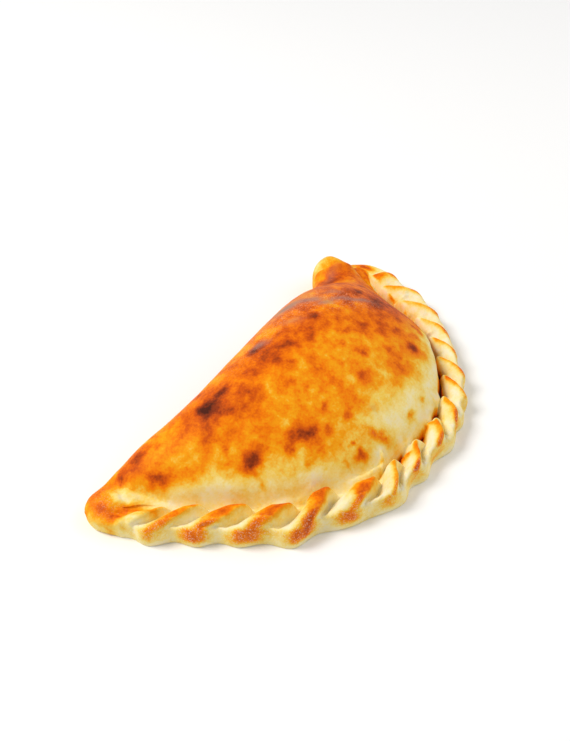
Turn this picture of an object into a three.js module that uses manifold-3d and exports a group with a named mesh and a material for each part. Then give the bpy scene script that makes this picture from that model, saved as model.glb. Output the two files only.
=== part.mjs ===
// A baked calzone: a round of dough folded over its filling into a half moon, sealed round
// the curved side with a row of crimps that are turned over one by one like a twisted rope.
// It is one piece of food, whole and solid, so it is built as one closed skin.
//
// Frame, in millimetres: +X runs along the fold from the low tip to the high tip, -Y points
// from the fold to the crimped rim, +Z is up. The origin is on the underside, below the
// middle of the bounding box.
import * as THREE from "three";
import { mergeVertices } from "three/addons/utils/BufferGeometryUtils.js";
import Module from "manifold-3d";

const HALF = 140; // half the length from tip to tip
const DEPTH = 147; // from the line through the tips to the outermost point of the rim

// The fold, from the end of the crimps at the high tip back to the low tip: x, y of its bulge.
const FOLD_LINE = [
  [133, -26], [126, -17.5], [118, -9], [107, -5.5], [96, -10], [82, -17.5], [56, -20], [18, -18],
  [-22, -16.5], [-62, -13], [-98, -5], [-120, -1], [-134, 1.5], [-141.5, -1.5], [-145, -8.5],
  [-144.5, -16.5],
];
const FOLD_BULGE = 15; // height at which the fold is widest
const TIP_BULGE = 8; // the same at the tips
const FOLD_UNDERCUT = 6; // how far it draws in again below that
const TIP_UNDERCUT = 2.5; // the same at the tips
const FOLD_ROUND = 48; // the dome rises from the fold to its full height over this distance
const TIP_ROUND = 13; // the same at the tips

// The dome, which stands inside the seam and holds the filling.
const PEAK = new THREE.Vector3(24, -58, 0); // where the meridians of the skin meet
const SEAM_HALF = 122; // half the length and the depth of the half round that it stands on
const SEAM_DEPTH = 132;
const DOME_SKEW = 14; // the dome is highest this far towards the high tip
const DOME_SQUARENESS = 2.05; // 2 would make its plan an ellipse
const DOME_NARROWING = 0.0039; // how much less square it is for each millimetre to the high tip
const DOME_POWER = 0.7; // below 1 it is rounder than a parabola
const DOME_RISE = 54; // how far it would rise over the seam if the fold did not cut into it
const SEAM_HEIGHT = 11; // where the dome meets the rope, and the crust at the tips

// The crimps, from the low tip round to the high tip, each a little different, as fingers
// leave them. angle is where the inner end is on the rim, in degrees, and reach how far out
// the rim is there, as a share of the plain half round. width is half the width of the rope
// and top its height over the table. twist is how far a crimp runs back while it crosses the
// rope and bulge how far back the rim bulges most, as shares of the pitch. fall is the depth
// of the crease beside it, lean a share of the usual overhang, keen how narrow the ridge is
// and hollow how deep the hollow beside it is. gap is the depth of the gap between the inner
// end and the dome, and skirt how far that gap spreads.
const CRIMP_SIZES = [
  "angle", "reach", "width", "twist", "bulge", "top", "fall", "lean", "keen", "hollow", "gap", "skirt",
];
const CRIMP_ROWS = [
  [13.5, 1.03, 10, 0.7, 0.8, 14.5, 6, 0.4, 0.7, 2.5, 2, 7],
  [23, 1.002, 10, 0.75, 0.8, 15.5, 8, 0.5, 0.7, 4, 5, 6],
  [34, 0.998, 10, 0.8, 0.85, 16, 9, 0.6, 0.7, 4.5, 5, 6],
  [44, 1.028, 10, 0.82, 1.05, 18, 10, 0.7, 1, 4, 5, 5.5],
  [54.5, 1, 10, 0.68, 1, 18, 11, 0.7, 0.9, 4.5, 6, 5],
  [66, 1.032, 9.5, 0.72, 0.9, 17.5, 10, 0.8, 1, 4, 6, 4],
  [75, 1.007, 8.5, 0.85, 0.45, 17, 10, 0.8, 1.4, 3, 8, 3.5],
  [84, 0.996, 7.7, 0.85, 0.45, 17, 10, 0.8, 1.4, 2.5, 10, 3.5],
  [93.5, 1.01, 7.5, 0.72, 0.2, 16.5, 9, 0.9, 1.2, 2, 10, 3.5],
  [103, 1.007, 7.5, 0.7, 0.25, 16, 8, 1, 1.1, 1, 10, 3.5],
  [112, 1, 7.5, 0.75, 0.7, 15.5, 7, 1, 1, 0.5, 12, 3.5],
  [120, 0.985, 7.5, 0.9, 0.7, 15.5, 6.5, 1, 0.9, 0.5, 12, 3.5],
  [128, 0.985, 7.5, 0.95, 0.6, 15.5, 6, 1, 0.9, 0.5, 8, 3],
  [137, 0.995, 8.5, 0.95, 0.5, 15.5, 6, 1, 0.9, 0.5, 6, 3],
  [146.5, 1, 9.5, 0.95, 0.65, 15.5, 6, 1, 0.9, 0.5, 6, 3],
  [156, 0.99, 9.5, 0.9, 0.75, 15.5, 6, 1, 0.9, 0.5, 5, 3],
  [163.5, 1.002, 9, 0.8, 0.7, 15, 6, 0.9, 0.8, 0.5, 2, 3],
];

// The rope that the crimps form together.
const ROPE_MIDDLE = 8.5; // height of the middle of the rope
const CREST_AT = 0.1; // how far past the middle of its pitch a crimp is highest
const CRIMP_LEAN = 4.2; // a crest leans this far over the next crimp
const LEAN_LEVEL = 0.66; // the level of the relief that stays where it is
const OUTER_RELIEF = 0.33; // share of the relief that is left on the outer side
const HEAD_KEENNESS = 0.5; // how narrow the ridges are at their inner ends
const PLUMPNESS = 0.22; // the near crimps are this much fuller, as a share of the pitch
const PLUMP_FAR_SIDE = 0.3; // share of that fullness on the side away from the crease behind
const ROPE_ROUNDNESS = 0.85; // below 1 its section is fuller than an ellipse
const ROPE_START = 170; // degrees round the rope's section where it meets the dome
const ROPE_END = -60; // and where it meets the table
const RELIEF_BETWEEN = [-50, 30, 145, ROPE_START]; // the relief grows in and fades out over these
const HEAD_BETWEEN = [95, 145]; // a crimp turns into its head between these turns
const CRIMP_BETWEEN = [15, 155]; // a crimp runs from the first of these turns to the second
const PLUMP_RAMP = [5.2, 6.2]; // crimp numbers over which the near, plump crimps end
const SHARE_RAMP = [-1.1, 0.1]; // crimp numbers over which the rope grows out of the low tip
const TWIST_RAMP = [-1.4, 1.2]; // the same for its twist,
const STRAIGHT_RAMP = [-1.1, 2.5]; // for the direction it is measured in
const RELIEF_RAMP = [-0.5, 0.6]; // and for its relief
const ROPE_UNDERCUT = 1.2; // how far it draws in at the table
const SCALLOP = 3.2; // how far the outline swings out and in again beside each crimp
const FAR_SCALLOP = 0.6; // share of that which is left past the first of these crimps
const FAR_RAMP = [8, 11];
const HOLLOW_REACH = 0.18; // half the width of a hollow, as a share of the pitch
const HOLLOW_AT = -0.03; // where it is deepest, from the crease on, in the same measure
const HOLLOW_TURN = 78; // the turn at which it is deepest
const HOLLOW_SPREAD = 34; // and the turns over which it fades
const GAP_TURN = 8; // turns over which a gap spreads for each millimetre of its skirt
const CREASE_POWER = 1.3; // how narrow the creases between two crimps are
const NEAR_SEAM = 0.7; // share of the gap's depth that the near crimps have all along
const NEAR_SEAM_RAMP = [5.5, 7];
const OPEN_SEAM = [9.2, 10.2, 12, 12.8]; // the gap runs on unbroken between these crimps
const GAP_FLOOR = 3.5; // dough left under the deepest gaps

// The relief near the tips: a neck behind the dome, the corner pinched up into an ear, and
// the blunt corner at the low tip.
const SWELLS = [
  { x: 80, y: -22, reach: 26, lift: -15 },
  { x: 98, y: -72, reach: 26, lift: -7 },
  { x: 108, y: -15, reach: 12, lift: 8 },
  { x: 115, y: -31, reach: 9, lift: 5 },
  { x: -128, y: -12, reach: 16, lift: 5 },
];

// How the surface is divided.
const PER_CRIMP = 8;
const PER_FOLD_SPAN = 3;
const DOME_RINGS = 11;
const DOME_CROWDING = 0.92; // how close to the seam its outermost rings lie; 1 is closest
const EDGE_RINGS = 11;
const BASE_RINGS = 1;
const FOLD_PIECES = 150;

const { degToRad, lerp, smoothstep, clamp, euclideanModulo } = THREE.MathUtils;
const wasm = await Module();
wasm.setup();

const CRIMPS = CRIMP_ROWS.length;
const RIM_END = CRIMPS - 0.5; // crimp number where the rim ends; it starts at -0.5

/** One size of the crimps at a crimp number, eased from each crimp to the next. */
function sizeAt(name, number) {
  const column = CRIMP_SIZES.indexOf(name);
  const held = clamp(number, 0, CRIMPS - 1);
  const before = Math.min(Math.floor(held), CRIMPS - 2);
  return lerp(CRIMP_ROWS[before][column], CRIMP_ROWS[before + 1][column], held - before);
}

/** The angle round the rim at a crimp number, which may lie between two crimps or beyond them. */
function angleAt(number) {
  const before = clamp(Math.floor(number), 0, CRIMPS - 2);
  const [angle, next] = [sizeAt("angle", before), sizeAt("angle", before + 1)];
  return lerp(angle, next, number - before);
}

/** The outline seen from above, as one closed curve: the rim first, then the fold. */
function outline() {
  const points = [];
  for (let half = 0; half <= 2 * CRIMPS; half++) {
    const number = half / 2 - 0.5;
    const angle = degToRad(angleAt(number));
    const corner = new THREE.Vector3(-HALF * Math.cos(angle), -DEPTH * Math.sin(angle), 0);
    points.push(corner.multiplyScalar(sizeAt("reach", number)));
  }
  for (const [x, y] of FOLD_LINE) points.push(new THREE.Vector3(x, y, 0));
  return new THREE.CatmullRomCurve3(points, true, "centripetal");
}

const OUTLINE = outline();
const SPANS = OUTLINE.points.length; // two of them to a crimp

/** Place, outward normal and direction of the outline at a crimp number, on along the fold. */
function edgeAt(number) {
  const share = (2 * (number + 0.5)) / SPANS;
  const round = share - Math.floor(share);
  const along = OUTLINE.getTangent(round);
  return { place: OUTLINE.getPoint(round), outward: new THREE.Vector3(along.y, -along.x, 0), along };
}

/** The outward direction with the waves of single crimps smoothed out of it. */
function facingAt(number) {
  const sum = new THREE.Vector3();
  for (const step of [-1, -0.5, 0, 0.5, 1]) sum.add(edgeAt(number + step).outward);
  return sum.normalize();
}

/** The fold, tips included, as a chain of short straight pieces. */
function foldPieces() {
  const pieces = [];
  let start = edgeAt(RIM_END).place;
  for (let i = 1; i <= FOLD_PIECES; i++) {
    const end = edgeAt(lerp(RIM_END, (SPANS - 1) / 2, i / FOLD_PIECES)).place;
    pieces.push(new THREE.Line3(start, end));
    start = end;
  }
  return pieces;
}

const FOLD_CHAIN = foldPieces();

/** How far a point of the plan is from the fold. */
function distanceToFold(point) {
  const nearest = new THREE.Vector3();
  let least = Infinity;
  for (const piece of FOLD_CHAIN) {
    piece.closestPointToPoint(point, true, nearest);
    least = Math.min(least, nearest.distanceToSquared(point));
  }
  return Math.sqrt(least);
}

/** Height of the skin over a point of the plan, inside the seam or next to the fold. */
function skinHeight(point) {
  const plan = new THREE.Vector3(point.x, point.y, 0);
  const tip = (plan.x / HALF) ** 2;
  const skewed = (plan.x - DOME_SKEW) / (SEAM_HALF - (DOME_SKEW * plan.x) / SEAM_HALF);
  const power = DOME_SQUARENESS - DOME_NARROWING * Math.max(plan.x, 0);
  const used = Math.abs(skewed) ** power + Math.abs(plan.y / SEAM_DEPTH) ** power;
  const full = SEAM_HEIGHT + DOME_RISE * Math.max(0, 1 - used) ** DOME_POWER;
  const bulge = lerp(FOLD_BULGE, TIP_BULGE, tip);
  const round = lerp(FOLD_ROUND, TIP_ROUND, tip);
  const rise = Math.sqrt(1 - (1 - Math.min(1, distanceToFold(plan) / round)) ** 2);
  let height = bulge + (full - bulge) * rise;
  for (const { x, y, reach, lift } of SWELLS) {
    const away = Math.hypot(plan.x - x, plan.y - y) / reach;
    height += lift * Math.exp(-away * away) * rise;
  }
  return height;
}

/** How much of the crimped rope there is at a crimp number: 1 on the rim, 0 on the fold. */
function ropeShare(number) {
  const [start, end] = SHARE_RAMP;
  return smoothstep(number, start, end) * (1 - smoothstep(number, CRIMPS + start, CRIMPS + end));
}

/** How far a number is through its crimp, from the crease behind it at 0 to the next at 1. */
function through(number) {
  return euclideanModulo(number + CREST_AT + 0.5, 1);
}

/** How far a number is past the crease nearest to it, as a share of the pitch. */
function pastCrease(number) {
  return euclideanModulo(through(number) + 0.5, 1) - 0.5;
}

/** The rise of a crimp, from 0 in the crease behind it to 1 on its ridge. */
function crimpRise(number, turn) {
  const crest = 0.5 + CREST_AT;
  const plump = PLUMPNESS * (1 - smoothstep(number, ...PLUMP_RAMP));
  const rising = smoothstep(through(number), 0, crest - plump);
  const falling = 1 - smoothstep(through(number), crest + PLUMP_FAR_SIDE * plump, 1);
  const keen = lerp(sizeAt("keen", number), HEAD_KEENNESS, smoothstep(turn, ...HEAD_BETWEEN));
  return (rising * falling) ** keen;
}

/** How far the edge is pushed out between its narrow parts, at a place along the outline. */
function scallopAt(place) {
  const widestOf = (number) => number - sizeAt("bulge", number);
  let before = 0;
  while (before < CRIMPS - 2 && widestOf(before + 1) <= place) before++;
  const [start, end] = [widestOf(before), widestOf(before + 1)];
  const wave = Math.cos(2 * Math.PI * clamp((place - start) / (end - start), 0, 1));
  return 0.5 * SCALLOP * lerp(1, FAR_SCALLOP, smoothstep(place, ...FAR_RAMP)) * wave;
}

/** The depth of the hollow beside each ridge. */
function hollowDepth(number, turn) {
  const past = (pastCrease(number) - HOLLOW_AT) / HOLLOW_REACH;
  const away = (turn - HOLLOW_TURN) / HOLLOW_SPREAD;
  return sizeAt("hollow", number) * Math.exp(-past * past - away * away);
}

/** How far the skin dips where the rope meets the dome, most between two crimps. */
function gapDepth(number, turn) {
  const [opening, open, closing, closed] = OPEN_SEAM;
  const openSeam = smoothstep(number, opening, open) * (1 - smoothstep(number, closing, closed));
  const unbroken = openSeam + NEAR_SEAM * (1 - smoothstep(number, ...NEAR_SEAM_RAMP));
  const between = (0.5 + 0.5 * Math.cos(2 * Math.PI * pastCrease(number))) ** CREASE_POWER;
  const spread = GAP_TURN * sizeAt("skirt", number);
  const near = smoothstep((turn - ROPE_START) / spread, -1, 0);
  const depth = sizeAt("gap", number) * lerp(between, 1, unbroken) * near;
  return depth * ropeShare(number) * smoothstep(number, ...RELIEF_RAMP);
}

/** What is left of a height when a gap is taken from it; the dough under the gap stays. */
function lessGap(height, gap) {
  return height - clamp(height - GAP_FLOOR, 0, gap);
}

/** |value| to a power, with the sign of value: the corner rule of a superellipse. */
function signedPower(value, power) {
  return Math.sign(value) * Math.abs(value) ** power;
}

/** How far the lowest part of the edge is drawn in, and what is left of its height, at a turn. */
function underside(turn, undercut) {
  const under = degToRad((90 * Math.min(0, turn)) / ROPE_END);
  return { drawn: undercut * (1 - Math.cos(under)), left: 1 - Math.sin(under) };
}

/** A point of the rope's skin. turn is 180 at its inner side, 90 on top and 0 outside. */
function ropePoint(number, turn) {
  const across = smoothstep(turn, ...CRIMP_BETWEEN);
  const twist = sizeAt("twist", number) * smoothstep(number, ...TWIST_RAMP);
  const strand = number - twist * (1 - across);
  const { place, along } = edgeAt(strand);
  const [start, end] = STRAIGHT_RAMP;
  const straight = smoothstep(number, start, end) * (1 - smoothstep(number, CRIMPS - 1 - end, CRIMPS));
  const radial = place.clone().sub(PEAK).normalize();
  const outward = facingAt(strand).lerp(radial, 1 - straight).normalize();
  const eased = ropeShare(number) * smoothstep(number, ...RELIEF_RAMP);
  const crest = crimpRise(number, turn) * ropeShare(number);
  const [low, high, fade, gone] = RELIEF_BETWEEN;
  const inner = smoothstep(turn, fade, gone);
  const taper = smoothstep(turn, low, high) * (1 - inner);
  const relief = sizeAt("fall", number) * lerp(OUTER_RELIEF, 1, across);
  const grow = relief * taper * (crest - 1) * eased;
  const angle = degToRad(Math.max(0, turn));
  const { drawn, left } = underside(turn, ROPE_UNDERCUT);
  const width = sizeAt("width", number);
  const swing = 0.5 * grow + scallopAt(strand) * (1 - across) * eased;
  const out = signedPower(Math.cos(angle), ROPE_ROUNDNESS) * (width + swing) - drawn;
  const full = sizeAt("top", number) - ROPE_MIDDLE + grow;
  const up = signedPower(Math.sin(angle), ROPE_ROUNDNESS) * full;
  const lean = CRIMP_LEAN * sizeAt("lean", number) * (crest - LEAN_LEVEL) * taper;
  const point = place
    .clone()
    .addScaledVector(outward, out - width)
    .addScaledVector(along, lean * Math.sin(angle));
  const height = ROPE_MIDDLE * left + up - hollowDepth(number, turn) * eased;
  const joined = inner > 0 ? lerp(height, skinHeight(point), inner) : height;
  return point.setZ(lessGap(joined, gapDepth(number, turn)));
}

/** A point of the edge where there is no rope: over the fold, then drawn in to the table. */
function foldPoint(number, turn) {
  const { place, outward } = edgeAt(number);
  if (turn >= 0) {
    const around = degToRad((turn * 90) / ROPE_START);
    const inset = sizeAt("width", number) * (1 - Math.cos(around));
    const inward = PEAK.clone().sub(place).normalize();
    const point = place.clone().addScaledVector(inward, inset);
    return point.setZ(skinHeight(point));
  }
  const tip = Math.min(1, (place.x / HALF) ** 2);
  const { drawn, left } = underside(turn, lerp(FOLD_UNDERCUT, TIP_UNDERCUT, tip));
  return place.clone().addScaledVector(outward, -drawn).setZ(skinHeight(place) * left);
}

/** A point of the edge: the rope on the rim, the bare edge on the fold, blended at the tips. */
function edgePoint(number, turn) {
  const share = ropeShare(number);
  if (share === 1) return ropePoint(number, turn);
  if (share === 0) return foldPoint(number, turn);
  return foldPoint(number, turn).lerp(ropePoint(number, turn), share);
}

/** A point of the skin between the peak and the seam. */
function domePoint(number, ring) {
  const seam = edgePoint(number, ROPE_START).setZ(0);
  const quarter = (DOME_CROWDING * Math.PI) / 2;
  const reach = Math.sin((ring / DOME_RINGS) * quarter) / Math.sin(quarter);
  const point = PEAK.clone().lerp(seam, reach);
  const away = point.distanceTo(seam) / sizeAt("skirt", number);
  const dip = gapDepth(number, ROPE_START) * (1 - smoothstep(away, 0, 1));
  return point.setZ(lessGap(skinHeight(point), dip));
}

/** One vertex of the skin. ring 0 is at the peak; the last ring is its foot on the table. */
function skinPoint(number, ring) {
  if (ring <= DOME_RINGS) return domePoint(number, ring);
  const past = (ring - DOME_RINGS) / EDGE_RINGS;
  if (past <= 1) return edgePoint(number, lerp(ROPE_START, ROPE_END, past));
  const foot = edgePoint(number, ROPE_END).setZ(0);
  return foot.lerp(PEAK, (ring - DOME_RINGS - EDGE_RINGS) / (BASE_RINGS + 1));
}

/** The crimp number of a step round the outline; past the rim it counts on or back in halves. */
function numberAt(step) {
  const rimSteps = PER_CRIMP * CRIMPS;
  if (step <= rimSteps) return step / PER_CRIMP - 0.5;
  const number = RIM_END + (step - rimSteps) / (2 * PER_FOLD_SPAN);
  return number < (RIM_END + SPANS / 2) / 2 ? number : number - SPANS / 2;
}

/** The closed skin as a manifold solid, laid over the rings and segments of a ball. */
function calzone() {
  const around = PER_CRIMP * CRIMPS + PER_FOLD_SPAN * (FOLD_LINE.length + 1);
  const rings = DOME_RINGS + EDGE_RINGS + BASE_RINGS + 1;
  const sphere = new THREE.SphereGeometry(1, around, rings);
  const position = sphere.getAttribute("position");
  const uv = sphere.getAttribute("uv");
  for (let i = 0; i < position.count; i++) {
    const number = numberAt(uv.getX(i) * around);
    const ring = Math.round((1 - uv.getY(i)) * rings);
    const { x, y, z } = skinPoint(number, ring);
    position.setXYZ(i, x, y, z);
  }
  sphere.deleteAttribute("normal");
  sphere.deleteAttribute("uv");
  const merged = mergeVertices(sphere, 1e-3);
  return new wasm.Manifold(
    new wasm.Mesh({
      numProp: 3,
      vertProperties: merged.attributes.position.array,
      triVerts: new Uint32Array(merged.index.array),
    }),
  );
}

const made = calzone().getMesh();
const geometry = new THREE.BufferGeometry()
  .setAttribute("position", new THREE.BufferAttribute(made.vertProperties, 3))
  .setIndex(new THREE.BufferAttribute(made.triVerts, 1));
geometry.computeBoundingBox();
const middle = geometry.boundingBox.getCenter(new THREE.Vector3());
geometry.translate(-middle.x, -middle.y, -geometry.boundingBox.min.z);
geometry.computeVertexNormals();

const crust = new THREE.MeshStandardMaterial({ color: 0xe39a3c, roughness: 0.62, metalness: 0 });
const mesh = new THREE.Mesh(geometry, crust);
mesh.name = "calzone";

const group = new THREE.Group();
group.add(mesh);
export default group;
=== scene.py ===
"""A baked calzone: a round of dough folded over its filling, with a crimped and twisted edge.

The crust is one closed skin. It starts as a closed tube and is moved into shape: the dome over the
filling, the rope of crimps round its edge, the bare fold at the back and the flat underside.
Sizes are in millimetres, in the frame of the outline: +X along the fold from the low tip to
the high tip, -Y towards the crimps, +Z up. Finished meshes are in metres, in the shared frame.

A number is a place along the edge, counted in crimps from the low tip. A turn is a place round
the section of the rope, in degrees: 180 at the dome, 90 on top, 0 outside and less below. A Ramp
holds the value at which something starts to ease in and the value at which it is full.
"""

import logging
import math
from dataclasses import dataclass
from enum import Enum

import bmesh
import bpy
import numpy as np
from mathutils import Matrix, Vector, noise

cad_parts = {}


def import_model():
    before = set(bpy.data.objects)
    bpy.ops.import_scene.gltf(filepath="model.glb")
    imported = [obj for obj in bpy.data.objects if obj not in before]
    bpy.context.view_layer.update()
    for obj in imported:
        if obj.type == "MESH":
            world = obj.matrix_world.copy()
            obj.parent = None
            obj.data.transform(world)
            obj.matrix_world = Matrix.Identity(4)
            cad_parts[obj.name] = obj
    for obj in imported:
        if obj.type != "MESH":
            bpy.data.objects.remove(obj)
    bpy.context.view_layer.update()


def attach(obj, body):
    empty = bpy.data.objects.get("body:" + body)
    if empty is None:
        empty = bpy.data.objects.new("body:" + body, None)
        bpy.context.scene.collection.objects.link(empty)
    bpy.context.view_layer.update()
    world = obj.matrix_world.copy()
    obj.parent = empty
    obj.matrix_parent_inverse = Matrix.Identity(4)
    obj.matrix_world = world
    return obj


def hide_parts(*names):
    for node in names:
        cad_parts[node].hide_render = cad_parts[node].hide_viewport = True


Array = np.ndarray
Node = bpy.types.Node
Socket = bpy.types.NodeSocket
Ramp = tuple[float, float]

MM = 0.001
LOG = logging.getLogger("calzone")

# Usual number of layers of a grain, and how much weaker and finer each is than the last.
GRAIN_LAYERS = 3
GRAIN_FADE = 1.0
GRAIN_RATIO = 2.0

# Sockets of a mix node that take and give colours.
MIX_SHARE = 0
MIX_FIRST = 6
MIX_SECOND = 7
MIX_RESULT = 2


def smoothstep(value: Array, start: float, end: float) -> Array:
    """Return the share at each value of a ramp that eases from 0 at start to 1 at end."""
    share = np.clip((value - start) / (end - start), 0.0, 1.0)
    return share * share * (3.0 - 2.0 * share)


def lerp(first: Array, second: Array, share: Array) -> Array:
    """Return the mix of first and second that lies share of the way between them."""
    return first + (second - first) * share


def unit(vectors: Array) -> Array:
    """Return the vectors, one to a row, at length one."""
    return vectors / np.linalg.norm(vectors, axis=1, keepdims=True)


def signed_power(value: Array, power: float) -> Array:
    """Return |value| to a power with the sign of value, as in a superellipse."""
    return np.sign(value) * np.abs(value) ** power


def grain(points: Array, size: float, layers: int, seed: float) -> Array:
    """Read a soft random field at points.

    Args:
        points: Places in millimetres, one to a row.
        size: Width of its larger lumps in millimetres.
        layers: How many layers it has, each half as wide and half as strong as the last.
        seed: Moves the field, so that two uses of it differ.

    Returns:
        A value for each place, mostly between -1 and 1.
    """
    moved = points / size + seed
    return np.array(
        [noise.fractal(Vector(place), GRAIN_FADE, GRAIN_RATIO, layers) for place in moved]
    )


def squared_distance(points: Array, chain: Array, weights: tuple[float, ...] | float) -> Array:
    """Measure how far points are from a chain of straight runs.

    Args:
        points: The points, one to a row.
        chain: The places that the chain runs through, one to a row.
        weights: What a distance counts for in each direction.

    Returns:
        The square of the distance of each point.
    """
    least = np.full(len(points), np.inf)
    for start, end in zip(chain[:-1], chain[1:]):
        run = end - start
        share = np.clip((points - start) @ run / (run @ run), 0.0, 1.0)
        away = (points - start - share[:, None] * run) * weights
        least = np.minimum(least, np.einsum("ij,ij->i", away, away))
    return least


@dataclass(frozen=True)
class Crimp:
    """One crimp of the edge, as it comes out of the fingers and the oven.

    angle is where its inner end is on the rim, in degrees from the low tip. reach is how far
    it was pulled out, as a share of the plain half round, and width is half the width of the
    rope there. twist is how far it runs back while it crosses the rope and bulge how far back
    the edge bulges most, both as shares of its pitch. top is the height of its ridge over the
    table and fall the depth of the crease beside it. lean is a share of the usual overhang and
    keen is how narrow the ridge is. hollow is the depth of the hollow beside the ridge. gap is
    the depth of the gap between its inner end and the dome, and skirt how far that gap
    spreads. crown, flank and foot say how brown its top, its outer side and its lowest part
    are, and band how wide the brown runs along its ridge, as a share of its pitch. seam_pale
    is how far the dome beside it stays pale. Sizes are in millimetres.
    """

    angle: float
    reach: float
    width: float
    twist: float
    bulge: float
    top: float
    fall: float
    lean: float
    keen: float
    hollow: float
    gap: float
    skirt: float
    crown: float
    flank: float
    foot: float
    band: float
    seam_pale: float


CRIMPS: tuple[Crimp, ...] = (
    Crimp(13.5, 1.03, 10, 0.7, 0.8, 14.5, 6, 0.4, 0.7, 2.5, 2, 7, 0.6, 0.4, 0.46, 0.4, 10),
    Crimp(23, 1.002, 10, 0.75, 0.8, 15.5, 8, 0.5, 0.7, 4, 5, 6, 0.62, 0.54, 0.5, 0.48, 12),
    Crimp(34, 0.998, 10, 0.8, 0.85, 16, 9, 0.6, 0.7, 4.5, 5, 6, 0.62, 0.6, 0.68, 0.46, 12),
    Crimp(44, 1.028, 10, 0.82, 1.05, 18, 10, 0.7, 1, 4, 5, 5.5, 0.7, 0.64, 0.7, 0.4, 13),
    Crimp(54.5, 1, 10, 0.68, 1, 18, 11, 0.7, 0.9, 4.5, 6, 5, 0.64, 0.7, 0.7, 0.44, 13),
    Crimp(66, 1.032, 9.5, 0.72, 0.9, 17.5, 10, 0.8, 1, 4, 6, 4, 0.64, 0.68, 0.62, 0.3, 16),
    Crimp(75, 1.007, 8.5, 0.85, 0.45, 17, 10, 0.8, 1.4, 3, 8, 3.5, 0.56, 0.58, 0.5, 0.15, 22),
    Crimp(84, 0.996, 7.7, 0.85, 0.45, 17, 10, 0.8, 1.4, 2.5, 10, 3.5, 0.56, 0.66, 0.42, 0.13, 27),
    Crimp(93.5, 1.01, 7.5, 0.72, 0.2, 16.5, 9, 0.9, 1.2, 2, 10, 3.5, 0.54, 0.7, 0.48, 0.14, 27),
    Crimp(103, 1.007, 7.5, 0.7, 0.25, 16, 8, 1, 1.1, 1, 10, 3.5, 0.54, 0.66, 0.5, 0.14, 20),
    Crimp(112, 1, 7.5, 0.75, 0.7, 15.5, 7, 1, 1, 0.5, 12, 3.5, 0.56, 0.6, 0.42, 0.14, 13),
    Crimp(120, 0.985, 7.5, 0.9, 0.7, 15.5, 6.5, 1, 0.9, 0.5, 12, 3.5, 0.54, 0.6, 0.42, 0.14, 10),
    Crimp(128, 0.985, 7.5, 0.95, 0.6, 15.5, 6, 1, 0.9, 0.5, 8, 3, 0.5, 0.6, 0.45, 0.14, 6),
    Crimp(137, 0.995, 8.5, 0.95, 0.5, 15.5, 6, 1, 0.9, 0.5, 6, 3, 0.48, 0.6, 0.45, 0.16, 3),
    Crimp(146.5, 1, 9.5, 0.95, 0.65, 15.5, 6, 1, 0.9, 0.5, 6, 3, 0.48, 0.6, 0.5, 0.16, 2),
    Crimp(156, 0.99, 9.5, 0.9, 0.75, 15.5, 6, 1, 0.9, 0.5, 5, 3, 0.5, 0.6, 0.55, 0.18, 2),
    Crimp(163.5, 1.002, 9, 0.8, 0.7, 15, 6, 0.9, 0.8, 0.5, 2, 3, 0.6, 0.68, 0.62, 0.26, 2),
)


def by_crimp(name: str, number: Array) -> Array:
    """Read one size of the crimps at crimp numbers, eased from each crimp to the next."""
    sizes = [getattr(crimp, name) for crimp in CRIMPS]
    return np.interp(number, np.arange(len(sizes)), sizes)


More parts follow.
